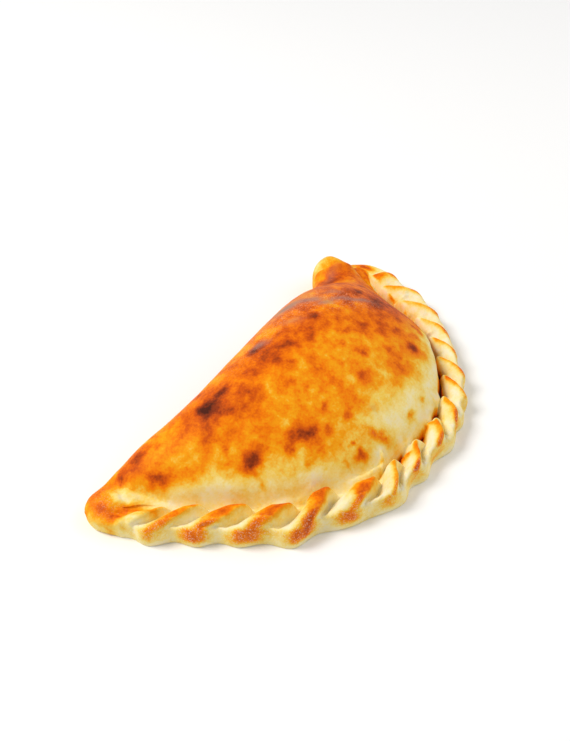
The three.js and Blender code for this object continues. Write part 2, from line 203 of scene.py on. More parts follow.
@dataclass(frozen=True)
class Outline:
    """The edge of the dough seen from above: the crimped rim, then the fold."""

    half: float = 140.0
    depth: float = 147.0
    fold_line: tuple[tuple[float, float], ...] = (
        (133, -26), (126, -17.5), (118, -9), (107, -5.5), (96, -10), (82, -17.5),
        (56, -20), (18, -18), (-22, -16.5), (-62, -13), (-98, -5), (-120, -1),
        (-134, 1.5), (-141.5, -1.5), (-145, -8.5), (-144.5, -16.5),
    )
    fold_pieces: int = 150
    rim_start: float = -0.5

    @property
    def crimps(self) -> int:
        """Number of crimps on the rim."""
        return len(CRIMPS)

    @property
    def spans(self) -> int:
        """Number of spans of the curve, two of them to a crimp."""
        return 2 * self.crimps + 1 + len(self.fold_line)

    @property
    def rim_end(self) -> float:
        """Crimp number at which the rim ends."""
        return self.crimps + self.rim_start

    def angle_at(self, number: float) -> float:
        """Return the angle round the rim, in degrees, at a crimp number."""
        before = int(np.clip(math.floor(number), 0, self.crimps - 2))
        return lerp(CRIMPS[before].angle, CRIMPS[before + 1].angle, number - before)

    def corners(self) -> Array:
        """Work out the places that the curve runs through.

        Returns:
            Two places to a crimp, then those of the fold, one to a row.
        """
        points = []
        for half in range(2 * self.crimps + 1):
            number = half / 2 + self.rim_start
            angle = math.radians(self.angle_at(number))
            reach = float(by_crimp("reach", number))
            x, y = -self.half * math.cos(angle), -self.depth * math.sin(angle)
            points.append((reach * x, reach * y))
        return np.array([*points, *self.fold_line], float)

    def at(self, number: Array) -> tuple[Array, Array, Array]:
        """Find places on the outline, which is a centripetal curve through its corners.

        Args:
            number: Crimp numbers, on along the fold past the rim or back past its start.

        Returns:
            The places, the outward directions and the directions along the outline.
        """
        corners = self.corners()
        count = len(corners)
        share = (2.0 * (number - self.rim_start)) % count
        first = np.floor(share).astype(int)
        part = (share - first)[:, None]
        near = [corners[(first + step) % count] for step in (-1, 0, 1, 2)]
        gap = [np.sqrt(np.linalg.norm(near[i + 1] - near[i], axis=1))[:, None] for i in range(3)]
        leave = self._slope(near[0], near[1], near[2], gap[0], gap[1]) * gap[1]
        arrive = self._slope(near[1], near[2], near[3], gap[1], gap[2]) * gap[1]
        third = -3 * near[1] + 3 * near[2] - 2 * leave - arrive
        fourth = 2 * near[1] - 2 * near[2] + leave + arrive
        place = near[1] + part * (leave + part * (third + part * fourth))
        along = unit(leave + part * (2 * third + 3 * part * fourth))
        outward = np.stack([along[:, 1], -along[:, 0]], axis=1)
        return place, outward, along

    def facing(self, number: Array) -> Array:
        """Return the outward directions with the waves of single crimps smoothed out of them."""
        return unit(sum(self.at(number + step)[1] for step in (-1.0, -0.5, 0.0, 0.5, 1.0)))

    @staticmethod
    def _slope(before: Array, here: Array, after: Array, gap: Array, next_gap: Array) -> Array:
        """Return how fast the curve runs through here, from its two neighbours."""
        over_both = (after - before) / (gap + next_gap)
        return (here - before) / gap - over_both + (after - here) / next_gap

    def fold_distance(self, plan: Array) -> Array:
        """Return how far each place of the plan is from the fold."""
        stops = np.linspace(self.rim_end, (self.spans - 1) / 2, self.fold_pieces + 1)
        return np.sqrt(squared_distance(plan, self.at(stops)[0], 1.0))


@dataclass(frozen=True)
class Swell:
    """A soft rise or hollow in the skin, round on the plan."""

    x: float
    y: float
    reach: float
    lift: float


@dataclass(frozen=True)
class Dome:
    """The skin over the filling, as a height over each place of the plan."""

    outline: Outline
    peak: tuple[float, float] = (24.0, -58.0)
    seam_half: float = 122.0
    seam_depth: float = 132.0
    skew: float = 14.0
    squareness: float = 2.05
    narrowing: float = 0.0039
    power: float = 0.7
    rise: float = 54.0
    seam_height: float = 11.0
    fold_bulge: float = 15.0
    tip_bulge: float = 8.0
    fold_round: float = 48.0
    tip_round: float = 13.0
    swells: tuple[Swell, ...] = (
        Swell(80, -22, 26, -15),
        Swell(98, -72, 26, -7),
        Swell(108, -15, 12, 8),
        Swell(115, -31, 9, 5),
        Swell(-128, -12, 16, 5),
    )

    def height(self, plan: Array) -> Array:
        """Work out the height of the skin.

        Args:
            plan: Places seen from above, one to a row.

        Returns:
            The height of the skin over each place.
        """
        x, y = plan[:, 0], plan[:, 1]
        tip = (x / self.outline.half) ** 2
        skewed = (x - self.skew) / (self.seam_half - self.skew * x / self.seam_half)
        power = self.squareness - self.narrowing * np.maximum(x, 0.0)
        used = np.abs(skewed) ** power + np.abs(y / self.seam_depth) ** power
        inside = np.maximum(0.0, 1.0 - used)
        full = self.seam_height + self.rise * inside**self.power
        bulge = lerp(self.fold_bulge, self.tip_bulge, tip)
        reach = lerp(self.fold_round, self.tip_round, tip)
        near = 1.0 - np.minimum(1.0, self.outline.fold_distance(plan) / reach)
        rise = np.sqrt(1.0 - near**2)
        height = bulge + (full - bulge) * rise
        for swell in self.swells:
            away = np.hypot(x - swell.x, y - swell.y) / swell.reach
            height += swell.lift * np.exp(-away * away) * rise
        return height


@dataclass(frozen=True)
class Dimple:
    """A soft spot on every crimp.

    past is where it lies past the crease behind the crimp, as a share of a pitch, and turn
    where it lies round the section. long and wide are its reach in those two directions, and
    slant is how many degrees it turns in a pitch.
    """

    past: float
    long: float
    turn: float
    wide: float
    slant: float = 0.0

    def weight(self, past: Array, turn: Array) -> Array:
        """Return how much of the spot is at each place: 1 in its middle and 0 beside it."""
        along, across = past - self.past, turn - self.turn - self.slant * past
        return np.exp(-((along / self.long) ** 2) - (across / self.wide) ** 2)


@dataclass(frozen=True)
class Rope:
    """The edge of the dough, turned over crimp by crimp into a flat twisted rope.

    start and end are the turns at the dome and under the edge. Ramps whose names end in turn,
    and crossing, run round the section. The others run along the edge by crimp number.
    """

    outline: Outline
    dome: Dome
    middle: float = 8.5
    roundness: float = 0.85
    start: float = 170.0
    end: float = -60.0
    inner_turn: float = 145.0
    outer_turn: Ramp = (-50.0, 30.0)
    crossing: Ramp = (15.0, 155.0)
    fade: Ramp = (-1.1, 0.1)
    ease_in: Ramp = (-0.5, 0.6)
    twist_in: Ramp = (-1.4, 1.2)
    face_in: Ramp = (-1.1, 2.5)
    face_out: float = 3.5
    crest_at: float = 0.1
    plumpness: float = 0.22
    plump_ahead: float = 0.3
    plump_until: Ramp = (5.2, 6.2)
    head_keenness: float = 0.5
    head_turn: Ramp = (95.0, 145.0)
    outer_relief: float = 0.33
    lean: float = 4.2
    lean_mean: float = 0.66
    scallop: float = 3.2
    far_scallop: float = 0.6
    far_scallop_from: Ramp = (8.0, 11.0)
    undercut: float = 1.2
    fold_undercut: float = 6.0
    tip_undercut: float = 2.5
    gap_turn: float = 8.0
    gap_floor: float = 3.5
    gap_keenness: float = 1.3
    near_seam: float = 0.7
    near_seam_until: Ramp = (5.5, 7.0)
    far_seam_from: Ramp = (9.2, 10.2)
    far_seam_until: Ramp = (12.0, 12.8)
    hollow_spot: Dimple = Dimple(-0.03, 0.18, 78.0, 34.0)
    pleats: int = 8
    pleat_spot: Dimple = Dimple(0.0, 0.24, 66.0, 34.0)
    pleat_turn: float = 110.0
    pleat_rise: float = 0.5
    pleats_until: Ramp = (8.5, 10.0)
    tuck: float = 2.2
    tuck_spot: Dimple = Dimple(0.02, 0.18, 82.0, 9.0, 50.0)
    tucks_from: Ramp = (9.5, 11.0)

    def share(self, number: Array) -> Array:
        """Return how much of the rope there is: 1 on the rim, 0 on the fold."""
        far = [self.outline.crimps + stop for stop in self.fade]
        return smoothstep(number, *self.fade) * (1 - smoothstep(number, *far))

    def through(self, number: Array) -> Array:
        """Return how far each place is through its crimp, from the crease behind it to the next."""
        return (number + self.crest_at + 0.5) % 1.0

    def past_crease(self, number: Array) -> Array:
        """Return how far each place is past the nearest crease, as a share of a pitch."""
        return (self.through(number) + 0.5) % 1.0 - 0.5

    def profile(self, number: Array, turn: Array) -> Array:
        """Work out the shape of the crimps from one crease to the next.

        Args:
            number: Crimp numbers, counted along each strand.
            turn: Degrees round the section.

        Returns:
            The rise, from 0 in the creases to 1 on the ridges.
        """
        crest = 0.5 + self.crest_at
        through = self.through(number)
        plump = 1 - smoothstep(number, *self.plump_until)
        rising = smoothstep(through, 0, crest - self.plumpness * plump)
        falling = 1 - smoothstep(through, crest + self.plump_ahead * self.plumpness * plump, 1)
        head = smoothstep(turn, *self.head_turn)
        return (rising * falling) ** lerp(by_crimp("keen", number), self.head_keenness, head)

    def between(self, number: Array) -> Array:
        """Return 1 in the crease between two crimps, easing to 0 at their ridges."""
        return (0.5 + 0.5 * np.cos(2 * np.pi * self.past_crease(number))) ** self.gap_keenness

    def scallops(self, number: Array) -> Array:
        """Work out the scallops of the outer edge.

        Args:
            number: Crimp numbers, measured along the outline.

        Returns:
            How far the edge is pushed out, less than nothing at its narrow parts.
        """
        counts = np.arange(self.outline.crimps)
        widest = counts - np.array([crimp.bulge for crimp in CRIMPS])
        wave = np.cos(2 * np.pi * np.interp(number, widest, counts))
        far = smoothstep(number, *self.far_scallop_from)
        return 0.5 * self.scallop * lerp(1, self.far_scallop, far) * wave

    def underside(self, turn: Array, undercut: Array) -> tuple[Array, Array]:
        """Return how far the foot of the edge is drawn in, and what is left of its height."""
        under = np.radians(90 * np.minimum(0, turn) / self.end)
        return undercut * (1 - np.cos(under)), 1 - np.sin(under)

    def across(self, turn: Array) -> Array:
        """Return how far a crimp has crossed the rope: 0 at its foot, 1 at its inner end."""
        return smoothstep(turn, *self.crossing)

    def twisted(self, number: Array, turn: Array) -> Array:
        """Return the places of a strand of the rope, measured along the outline."""
        twist = by_crimp("twist", number) * smoothstep(number, *self.twist_in)
        return number - twist * (1 - self.across(turn))

    def outward(self, number: Array, twisted: Array, place: Array) -> Array:
        """Find the directions out of the rope, which turn away from the peak at the tips.

        Args:
            number: Crimp numbers, counted along each strand.
            twisted: The same, measured along the outline.
            place: Where they are on the plan.

        Returns:
            The directions, one to a row.
        """
        last = self.outline.crimps
        straight = smoothstep(number, *self.face_in)
        straight = straight * (1 - smoothstep(number, last - self.face_out, last))
        radial = unit(place - np.array(self.dome.peak))
        return unit(lerp(self.outline.facing(twisted), radial, (1 - straight)[:, None]))

    def rim_points(self, number: Array, turn: Array) -> Array:
        """Find points on the rope's skin.

        Args:
            number: Crimp numbers, counted along each strand.
            turn: Degrees round the section.

        Returns:
            The points, one to a row.
        """
        across = self.across(turn)
        twisted = self.twisted(number, turn)
        place, _, along = self.outline.at(twisted)
        outward = self.outward(number, twisted, place)
        share = self.share(number)
        eased = share * smoothstep(number, *self.ease_in)
        crest = self.profile(number, turn) * share
        inner = smoothstep(turn, self.inner_turn, self.start)
        taper = smoothstep(turn, *self.outer_turn) * (1 - inner)
        grow = by_crimp("fall", number) * lerp(self.outer_relief, 1, across)
        grow = grow * taper * (crest - 1) * eased
        angle = np.radians(np.maximum(0, turn))
        drawn, left = self.underside(turn, self.undercut)
        swing = 0.5 * grow + self.scallops(twisted) * (1 - across) * eased
        width = by_crimp("width", number)
        out = signed_power(np.cos(angle), self.roundness) * (width + swing) - drawn
        full = by_crimp("top", number) - self.middle + grow
        up = signed_power(np.sin(angle), self.roundness) * full
        lean = self.lean * by_crimp("lean", number) * (crest - self.lean_mean) * taper
        plan = place + outward * (out - width)[:, None] + along * (lean * np.sin(angle))[:, None]
        height = self.middle * left + up - self.hollows(number, turn) * eased
        near = inner > 0
        height[near] = lerp(height[near], self.dome.height(plan[near]), inner[near])
        return np.column_stack([plan, self.less_gap(height, self.gap(number, turn))])

    def less_gap(self, height: Array, gap: Array) -> Array:
        """Return what is left of a height when a gap is taken from it; some dough stays."""
        return height - np.minimum(np.maximum(height - self.gap_floor, 0.0), gap)

    def gap(self, number: Array, turn: Array) -> Array:
        """Work out the gap where the rope meets the dome, deepest between two crimps.

        Args:
            number: Crimp numbers, counted along each strand.
            turn: Degrees round the section.

        Returns:
            How far the skin dips.
        """
        spread = self.gap_turn * by_crimp("skirt", number)
        near = smoothstep((turn - self.start) / spread, -1, 0)
        until = 1 - smoothstep(number, *self.far_seam_until)
        open_seam = smoothstep(number, *self.far_seam_from) * until
        open_seam = open_seam + self.near_seam * (1 - smoothstep(number, *self.near_seam_until))
        depth = by_crimp("gap", number) * lerp(self.between(number), 1.0, open_seam)
        return depth * near * self.share(number) * smoothstep(number, *self.ease_in)

    def seam_gap(self, number: Array) -> Array:
        """Return how far the skin dips right at the seam."""
        return self.gap(number, np.full(len(number), self.start))

    def hollows(self, number: Array, turn: Array) -> Array:
        """Work out the hollows beside the ridges, their pleats and the far tucks.

        Args:
            number: Crimp numbers, counted along each strand.
            turn: Degrees round the section.

        Returns:
            The depth of all of them together.
        """
        past = self.past_crease(number)
        hollow = by_crimp("hollow", number) * self.hollow_spot.weight(past, turn)
        pleats = self.pleat_spot.weight(past, turn)
        pleats = pleats * np.cos(2 * np.pi * (self.pleats * number + turn / self.pleat_turn))
        pleats = pleats * self.pleat_rise * (1 - smoothstep(number, *self.pleats_until))
        tuck = self.tuck * self.tuck_spot.weight(past, turn) * smoothstep(number, *self.tucks_from)
        return hollow + pleats + tuck

    def fold_points(self, number: Array, turn: Array) -> Array:
        """Find points on the edge where there is no rope: over the fold and down to the table.

        Args:
            number: Crimp numbers past the rim.
            turn: Degrees round the section.

        Returns:
            The points, one to a row.
        """
        place, outward, _ = self.outline.at(number)
        around = np.radians(np.maximum(0, turn) * 90 / self.start)
        inset = by_crimp("width", number) * (1 - np.cos(around))
        inward = unit(np.array(self.dome.peak) - place)
        tip = np.minimum(1, (place[:, 0] / self.outline.half) ** 2)
        drawn, left = self.underside(turn, lerp(self.fold_undercut, self.tip_undercut, tip))
        plan = place + inward * inset[:, None]
        height = self.dome.height(plan) * left
        return np.column_stack([plan - outward * drawn[:, None], height])

    def points(self, number: Array, turn: Array) -> Array:
        """Find points on the edge: the rope on the rim and the bare fold, eased at the tips.

        Args:
            number: Crimp numbers.
            turn: Degrees round the section.

        Returns:
            The points, one to a row.
        """
        share = self.share(number)
        points = np.zeros((len(number), 3))
        rim, bare = share > 0, share < 1
        points[rim] = share[rim, None] * self.rim_points(number[rim], turn[rim])
        points[bare] += (1 - share[bare, None]) * self.fold_points(number[bare], turn[bare])
        return points


@dataclass(frozen=True)
class Mark:
    """A soft ellipse on the plan, in the shared frame in millimetres.

    amount is how much it changes what it marks: the browning, the ashen grey or the floury
    white, the last two partly painted sheen. blister is how far the skin has risen there, and
    crispness how sharply the ellipse ends.
    """

    x: float
    y: float
    long: float
    wide: float
    turn: float
    amount: float
    blister: float = 0.0
    crispness: float = 1.15

    def weight(self, plan: Array) -> Array:
        """Work out where the mark is.

        Args:
            plan: Places or points, one to a row.

        Returns:
            How much of the mark is on each, 1 in its middle and 0 beside it.
        """
        angle = math.radians(self.turn)
        x, y = plan[:, 0] - self.x, plan[:, 1] - self.y
        along = (x * math.cos(angle) + y * math.sin(angle)) / self.long
        across = (y * math.cos(angle) - x * math.sin(angle)) / self.wide
        return np.exp(-((along * along + across * across) ** self.crispness))


@dataclass(frozen=True)
class Fold:
    """A small ridge or crease that follows a line of places on the skin, in the shared frame.

    width is how far its sides reach, lift how far it stands up, less than nothing for a
    crease, and heat how much browner it is than the skin beside it; in the creases along the
    seam that brown is partly painted shade. flatness is what a distance from the line counts
    for in each direction. Sizes are in millimetres.
    """

    path: tuple[tuple[float, float, float], ...]
    width: float
    lift: float
    heat: float = 0.0
    flatness: tuple[float, float, float] = (1.0, 1.0, 0.4)

    def weight(self, points: Array) -> Array:
        """Return how much of the fold is at each point: 1 on its line and 0 beside it."""
        least = squared_distance(points, np.array(self.path, float), self.flatness)
        return np.exp(-least / self.width**2)


def as_marks(*rows: tuple[float, ...]) -> tuple[Mark, ...]:
    """Return one mark to a row of values, which come in the order of the fields of Mark."""
    return tuple(Mark(*row) for row in rows)


def total(marks: tuple[Mark, ...], plan: Array) -> Array:
    """Add marks up.

    Args:
        marks: The marks.
        plan: Places or points, one to a row.

    Returns:
        The sum of their amounts on each.
    """
    amount = np.zeros(len(plan))
    for mark in marks:
        amount += mark.amount * mark.weight(plan)
    return amount


@dataclass
class Places:
    """Where each vertex of the skin is: its crimp number, turn and point in millimetres.

    seam is how far it is from the rope, for the vertices of the dome.
    """

    number: Array
    turn: Array
    seam: Array
    points: Array


@dataclass
class Crust:
    """The whole calzone as one closed skin, laid over the rings and segments of a tube.

    lumps holds the width, the height and the seed of each layer of unevenness.
    """

    outline: Outline
    dome: Dome
    rope: Rope
    folds: tuple[Fold, ...]
    middle: tuple[float, float, float] = (-4.9318, -73.7877, 0.0)
    per_crimp: int = 40
    fold_steps: int = 160
    dome_rings: int = 55
    edge_rings: int = 56
    base_rings: int = 6
    crowding: float = 0.92
    lumps: tuple[tuple[float, float, float], ...] = ((30.0, 0.5, 3.0), (9.0, 0.16, 13.0))
    lumps_above: Ramp = (0.5, 5.0)
    blister_facing: Ramp = (0.5, 0.9)

    @property
    def rim_steps(self) -> int:
        """Number of segments round the crimps."""
        return self.per_crimp * self.outline.crimps

    @property
    def around(self) -> int:
        """Number of segments right round the skin."""
        return self.rim_steps + self.fold_steps

    @property
    def rings(self) -> int:
        """Number of rings from the peak to the middle of the underside."""
        return self.dome_rings + self.edge_rings + self.base_rings

    def number_at(self, step: Array) -> Array:
        """Count along the edge; the count is continuous but for one jump.

        Args:
            step: Steps round the skin, one to a segment.

        Returns:
            The crimp number of each.
        """
        end = self.outline.rim_end
        spare = self.outline.spans / 2 - self.outline.crimps
        past = end + (step - self.rim_steps) / self.fold_steps * spare
        wrapped = np.where(past < end + spare / 2, past, past - self.outline.spans / 2)
        on_rim = step / self.per_crimp + self.outline.rim_start
        return np.where(step <= self.rim_steps, on_rim, wrapped)

    def dome_points(self, number: Array, ring: Array) -> tuple[Array, Array]:
        """Find points of the skin between the peak and the seam.

        Args:
            number: Crimp numbers.
            ring: Rings, counted from the peak.

        Returns:
            The points, one to a row, and how far each is from the seam.
        """
        seam = self.rope.points(number, np.full(len(number), self.rope.start))
        quarter = self.crowding * np.pi / 2
        reach = (np.sin(ring / self.dome_rings * quarter) / np.sin(quarter))[:, None]
        plan = lerp(np.array(self.dome.peak), seam[:, :2], reach)
        away = np.linalg.norm(seam[:, :2] - plan, axis=1)
        dip = self.rope.seam_gap(number) * (1 - smoothstep(away / by_crimp("skirt", number), 0, 1))
        height = self.rope.less_gap(self.dome.height(plan), dip)
        return np.column_stack([plan, height]), away

    def places(self, corners: Array) -> Places:
        """Work out where the vertices of the tube go.

        Args:
            corners: Vertices of a closed tube of radius one, from 1 down to -1.

        Returns:
            Their places on the skin.
        """
        azimuth = np.arctan2(corners[:, 1], corners[:, 0]) % (2 * np.pi)
        step = np.round(azimuth / (2 * np.pi) * self.around) % self.around
        # Only the middles of the two end caps lie inside the tube.
        centre = np.hypot(corners[:, 0], corners[:, 1]) < 0.5
        ring = np.round((1 - corners[:, 2]) / 2 * (self.rings - 2)) + 1
        ring = np.where(centre, np.where(corners[:, 2] > 0, 0, self.rings), ring)
        number = self.number_at(step)
        past = (ring - self.dome_rings) / self.edge_rings
        turn = lerp(self.rope.start, self.rope.end, np.clip(past, 0, 1))
        points = np.zeros((len(corners), 3))
        on_dome = past <= 0
        away = np.zeros(len(corners))
        points[on_dome], away[on_dome] = self.dome_points(number[on_dome], ring[on_dome])
        points[~on_dome] = self.rope.points(number[~on_dome], turn[~on_dome])
        under = past > 1
        inward = (ring[under] - self.dome_rings - self.edge_rings) / self.base_rings
        points[under, 2] = 0.0
        points[under, :2] = lerp(points[under, :2], np.array(self.dome.peak), inward[:, None])
        points -= np.array(self.middle)
        return Places(number, turn, away, points)

    def tube(self) -> bmesh.types.BMesh:
        """Make the closed tube that the skin starts as.

        Returns:
            A tube of radius one, from 1 down to -1, with its rings and segments.
        """
        tube = bmesh.new()
        bmesh.ops.create_cone(
            tube, segments=self.around, cap_ends=True, cap_tris=True,
            radius1=1.0, radius2=1.0, depth=2.0,
        )
        upright = [edge for edge in tube.edges if abs(edge.verts[0].co.z - edge.verts[1].co.z) > 1]
        bmesh.ops.subdivide_edges(tube, edges=upright, cuts=self.rings - 3, use_grid_fill=True)
        return tube

    @staticmethod
    def lay(skin: bmesh.types.BMesh, points: Array) -> None:
        """Move the vertices of the skin to points given in millimetres."""
        for vert, point in zip(skin.verts, points):
            vert.co = point * MM

    def build(self, marks: tuple[Mark, ...]) -> tuple[bpy.types.Object, Places]:
        """Make the skin as an object.

        Args:
            marks: The marks whose blisters rise from it.

        Returns:
            The object, and the places of its vertices.
        """
        skin = self.tube()
        places = self.places(np.array([vert.co for vert in skin.verts]))
        self.lay(skin, places.points)
        bmesh.ops.recalc_face_normals(skin, faces=skin.faces)
        skin.normal_update()
        normals = np.array([vert.normal for vert in skin.verts])
        rise = self.unevenness(places.points, normals[:, 2], marks)
        rise += sum(fold.lift * fold.weight(places.points) for fold in self.folds)
        places.points += normals * rise[:, None]
        places.points[:, 2] = np.maximum(places.points[:, 2], 0.0)
        self.lay(skin, places.points)
        mesh = bpy.data.meshes.new("calzone_crust")
        skin.to_mesh(mesh)
        skin.free()
        mesh.shade_smooth()
        piece = bpy.data.objects.new("calzone_crust", mesh)
        bpy.context.scene.collection.objects.link(piece)
        return piece, places

    def unevenness(self, points: Array, facing_up: Array, marks: tuple[Mark, ...]) -> Array:
        """Work out the lumps and blisters that baking leaves.

        Args:
            points: Points of the plain skin, one to a row.
            facing_up: How much the skin faces up at each.
            marks: The marks whose blisters rise from it.

        Returns:
            How far the baked skin stands off the plain skin at each point.
        """
        rise = np.zeros(len(points))
        for size, height, seed in self.lumps:
            rise += height * grain(points, size, GRAIN_LAYERS, seed)
        for mark in marks:
            if mark.blister:
                up = smoothstep(facing_up, *self.blister_facing)
                rise += mark.blister * mark.weight(points) * up
        return rise * smoothstep(points[:, 2], *self.lumps_above)


class Tone(Enum):
    """Colours that the dough goes through in the oven, as red, green and blue on a screen."""

    FLOUR = (0.965, 0.920, 0.780)
    CREAM = (0.970, 0.880, 0.575)
    STRAW = (0.960, 0.795, 0.330)
    GOLD = (0.965, 0.640, 0.070)
    AMBER = (0.945, 0.480, 0.020)
    RUST = (0.820, 0.340, 0.045)
    BROWN = (0.590, 0.225, 0.075)
    CHAR = (0.300, 0.120, 0.070)
    # Ashen grey of scorched dusting, also used for a painted sheen on the ridge.
    ASH_AND_SHEEN = (0.600, 0.500, 0.470)

    def linear(self) -> tuple[float, float, float, float]:
        """Return the colour in linear light, by the usual screen curve, with full alpha."""
        shares = [c / 12.92 if c <= 0.04045 else ((c + 0.055) / 1.055) ** 2.4 for c in self.value]
        return (*shares, 1.0)


@dataclass(frozen=True)
class Bake:
    """How brown, floury and ashy the crust is, as one value to each vertex of the skin. The brown
    in the gaps behind the rope is partly painted shade, and the floury and ashen marks are
    partly painted sheen.

    Browning runs from 0 for raw flour to 1 for char. Names that end in from and until are the
    ramps over which something starts and stops, by crimp number or by turn.
    """

    rope: Rope
    broads: tuple[Mark, ...]
    heats: tuple[Mark, ...]
    ashes_and_sheen: tuple[Mark, ...]
    dusts_and_sheen: tuple[Mark, ...]
    folds: tuple[Fold, ...]
    pale: float = 0.21
    middle: float = 0.55
    rope_pale: float = 0.20
    foot_pale: float = 0.34
    wall_pale: float = 0.07
    rope_from: Ramp = (-0.5, 0.4)
    rope_until: Ramp = (150.0, 169.0)
    wander: float = 1.5
    wander_size: float = 7.0
    wander_seeds: tuple[float, float] = (11.0, 31.0)
    pale_waver: float = 0.35
    pale_waver_size: float = 18.0
    pale_waver_layers: int = 2
    pale_waver_seed: float = 50.0
    least_pale: float = 0.5
    clearing: Ramp = (0.25, 1.25)
    # The gaps behind the rope are painted darker brown: baked browning and painted shade.
    gap_browning_and_shade: float = 0.70
    gap_depth: Ramp = (4.5, 6.5)
    gap_spread: float = 0.8
    gap_fade: Ramp = (0.1, 0.9)
    low_height: Ramp = (0.0, 14.0)
    plump_until: Ramp = (5.3, 6.3)
    ridge_at: float = -0.02
    patch_edge: float = 2.4
    flank_band: float = 0.5
    band_turn: Ramp = (55.0, 105.0)
    steep_side: tuple[float, float] = (0.09, 0.20)
    head_turn: tuple[float, float] = (122.0, 136.0)
    head_fade: float = 18.0
    crown_from: Ramp = (55.0, 80.0)
    flank_from: Ramp = (5.0, 30.0)
    flank_until: Ramp = (60.0, 95.0)
    foot_at: float = -0.1
    foot_long: float = 0.32
    foot_from: Ramp = (-35.0, -5.0)
    foot_until: Ramp = (20.0, 45.0)
    flour_until: Ramp = (30.0, 90.0)
    pleat_from: Ramp = (10.0, 30.0)
    pleat_until: Ramp = (90.0, 120.0)
    off_ridge: Ramp = (0.5, 0.9)
    pitch: float = 20.0
    strand_stretch: float = 0.05

    def of_crimp(self, name: str, number: Array) -> Array:
        """Return one size of the crimp that each place lies on."""
        nearest = np.clip(np.floor(number + self.rope.crest_at + 0.5), 0, len(CRIMPS) - 1)
        return np.array([getattr(crimp, name) for crimp in CRIMPS])[nearest.astype(int)]

    def on_rope(self, places: Places) -> Array:
        """Return how much each place belongs to the rope and not to the dome or the tip."""
        share = self.rope.share(places.number) * smoothstep(places.number, *self.rope_from)
        return share * (1 - smoothstep(places.turn, *self.rope_until))

    def wandered(self, points: Array) -> Array:
        """Move points about a little, so that marks on them get uneven edges.

        Args:
            points: The points, one to a row.

        Returns:
            The points moved along the plan.
        """
        moved = points.copy()
        for axis, seed in enumerate(self.wander_seeds):
            moved[:, axis] += self.wander * grain(points, self.wander_size, GRAIN_LAYERS, seed)
        return moved

    def clear_of_seam(self, places: Places) -> Array:
        """Work out where the dome is clear of the pale band along the seam.

        Args:
            places: Where the vertices are.

        Returns:
            0 in the band and 1 clear of it.
        """
        waver = grain(
            places.points, self.pale_waver_size, self.pale_waver_layers, self.pale_waver_seed
        )
        band = by_crimp("seam_pale", places.number) * (1 + self.pale_waver * waver)
        clear = smoothstep(places.seam / np.maximum(band, self.least_pale), *self.clearing)
        return lerp(1, clear, self.rope.share(places.number))

    def in_gap(self, places: Places) -> Array:
        """Work out where the dome dips into the gaps behind the rope, past the plump crimps.

        Args:
            places: Where the vertices are.

        Returns:
            1 deep in a gap and 0 out of it.
        """
        spread = np.maximum(by_crimp("skirt", places.number), 1.0) * self.gap_spread
        beside = 1 - smoothstep(places.seam / spread, *self.gap_fade)
        deep = smoothstep(self.rope.seam_gap(places.number), *self.gap_depth)
        return deep * beside * smoothstep(places.number, *self.rope.plump_until)

    def dome_heat(self, places: Places) -> Array:
        """Work out the browning of the skin over the filling.

        Args:
            places: Where the vertices are.

        Returns:
            The browning of each.
        """
        moved = self.wandered(places.points)
        heat = self.middle + total(self.broads, moved)
        heat = lerp(self.pale, heat, self.clear_of_seam(places)) + total(self.heats, moved)
        # Darker brown in the gaps behind the rope: baked browning and painted shade.
        heat = np.maximum(heat, self.pale + self.gap_browning_and_shade * self.in_gap(places))
        low = 1 - smoothstep(places.points[:, 2], *self.low_height)
        return lerp(heat, self.foot_pale, low * (1 - self.rope.share(places.number)))

    def ridges(self, off: Array, band: Array, turn: Array, plump: Array) -> Array:
        """Work out the bands of brown along the ridges of the crimps.

        Args:
            off: How far each place is past the ridge, as a share of a pitch.
            band: How wide the brown is there.
            turn: Degrees round the section.
            plump: How plump the crimps are there, from 0 to 1.

        Returns:
            How much of the brown is at each place.
        """
        narrowed = lerp(self.flank_band, 1, smoothstep(turn, *self.band_turn))
        gentle = np.abs(off - self.ridge_at) / (band * lerp(1, narrowed, plump))
        steep = np.maximum(off, 0) / lerp(*self.steep_side, plump)
        return np.exp(-np.where(off < self.ridge_at, gentle**self.patch_edge, steep**2))

    def rope_heat(self, places: Places) -> Array:
        """Work out the browning of the crimps: their crowns, outer flanks and feet.

        Args:
            places: Where the vertices are.

        Returns:
            The browning of each.
        """
        number, turn = places.number, places.turn
        off = self.rope.through(number) - 0.5 - self.rope.crest_at
        plump = 1 - smoothstep(number, *self.plump_until)
        ridge = self.ridges(off, self.of_crimp("band", number), turn, plump)
        head = lerp(*self.head_turn, plump)
        crown = (self.of_crimp("crown", number) - self.rope_pale) * ridge
        crown = crown * smoothstep(turn, *self.crown_from)
        crown = crown * (1 - smoothstep(turn, head, head + self.head_fade))
        flank = (self.of_crimp("flank", number) - self.rope_pale) * ridge
        flank = flank * (1 - smoothstep(turn, *self.flank_until))
        flank = flank * smoothstep(turn, *self.flank_from)
        foot = self.of_crimp("foot", number) - self.rope_pale
        foot = foot * np.exp(-np.abs((off - self.foot_at) / self.foot_long) ** self.patch_edge)
        foot = foot * smoothstep(turn, *self.foot_from) * (1 - smoothstep(turn, *self.foot_until))
        return self.rope_pale + np.maximum(np.maximum(crown, flank), foot)

    def values(self, places: Places) -> dict[str, Array]:
        """Work out the named values that the finish reads.

        Args:
            places: Where the vertices are.

        Returns:
            One value to a vertex for each name.
        """
        rope = self.on_rope(places)
        heat = lerp(self.dome_heat(places), self.rope_heat(places), rope)
        heat += sum(fold.heat * fold.weight(places.points) for fold in self.folds)
        moved = self.wandered(places.points)
        # The rope's floury walls, plus dust marks that also paint sheen on the dome's ridge.
        flour_and_sheen = rope * (1 - smoothstep(places.turn, *self.flour_until)) + total(self.dusts_and_sheen, moved)
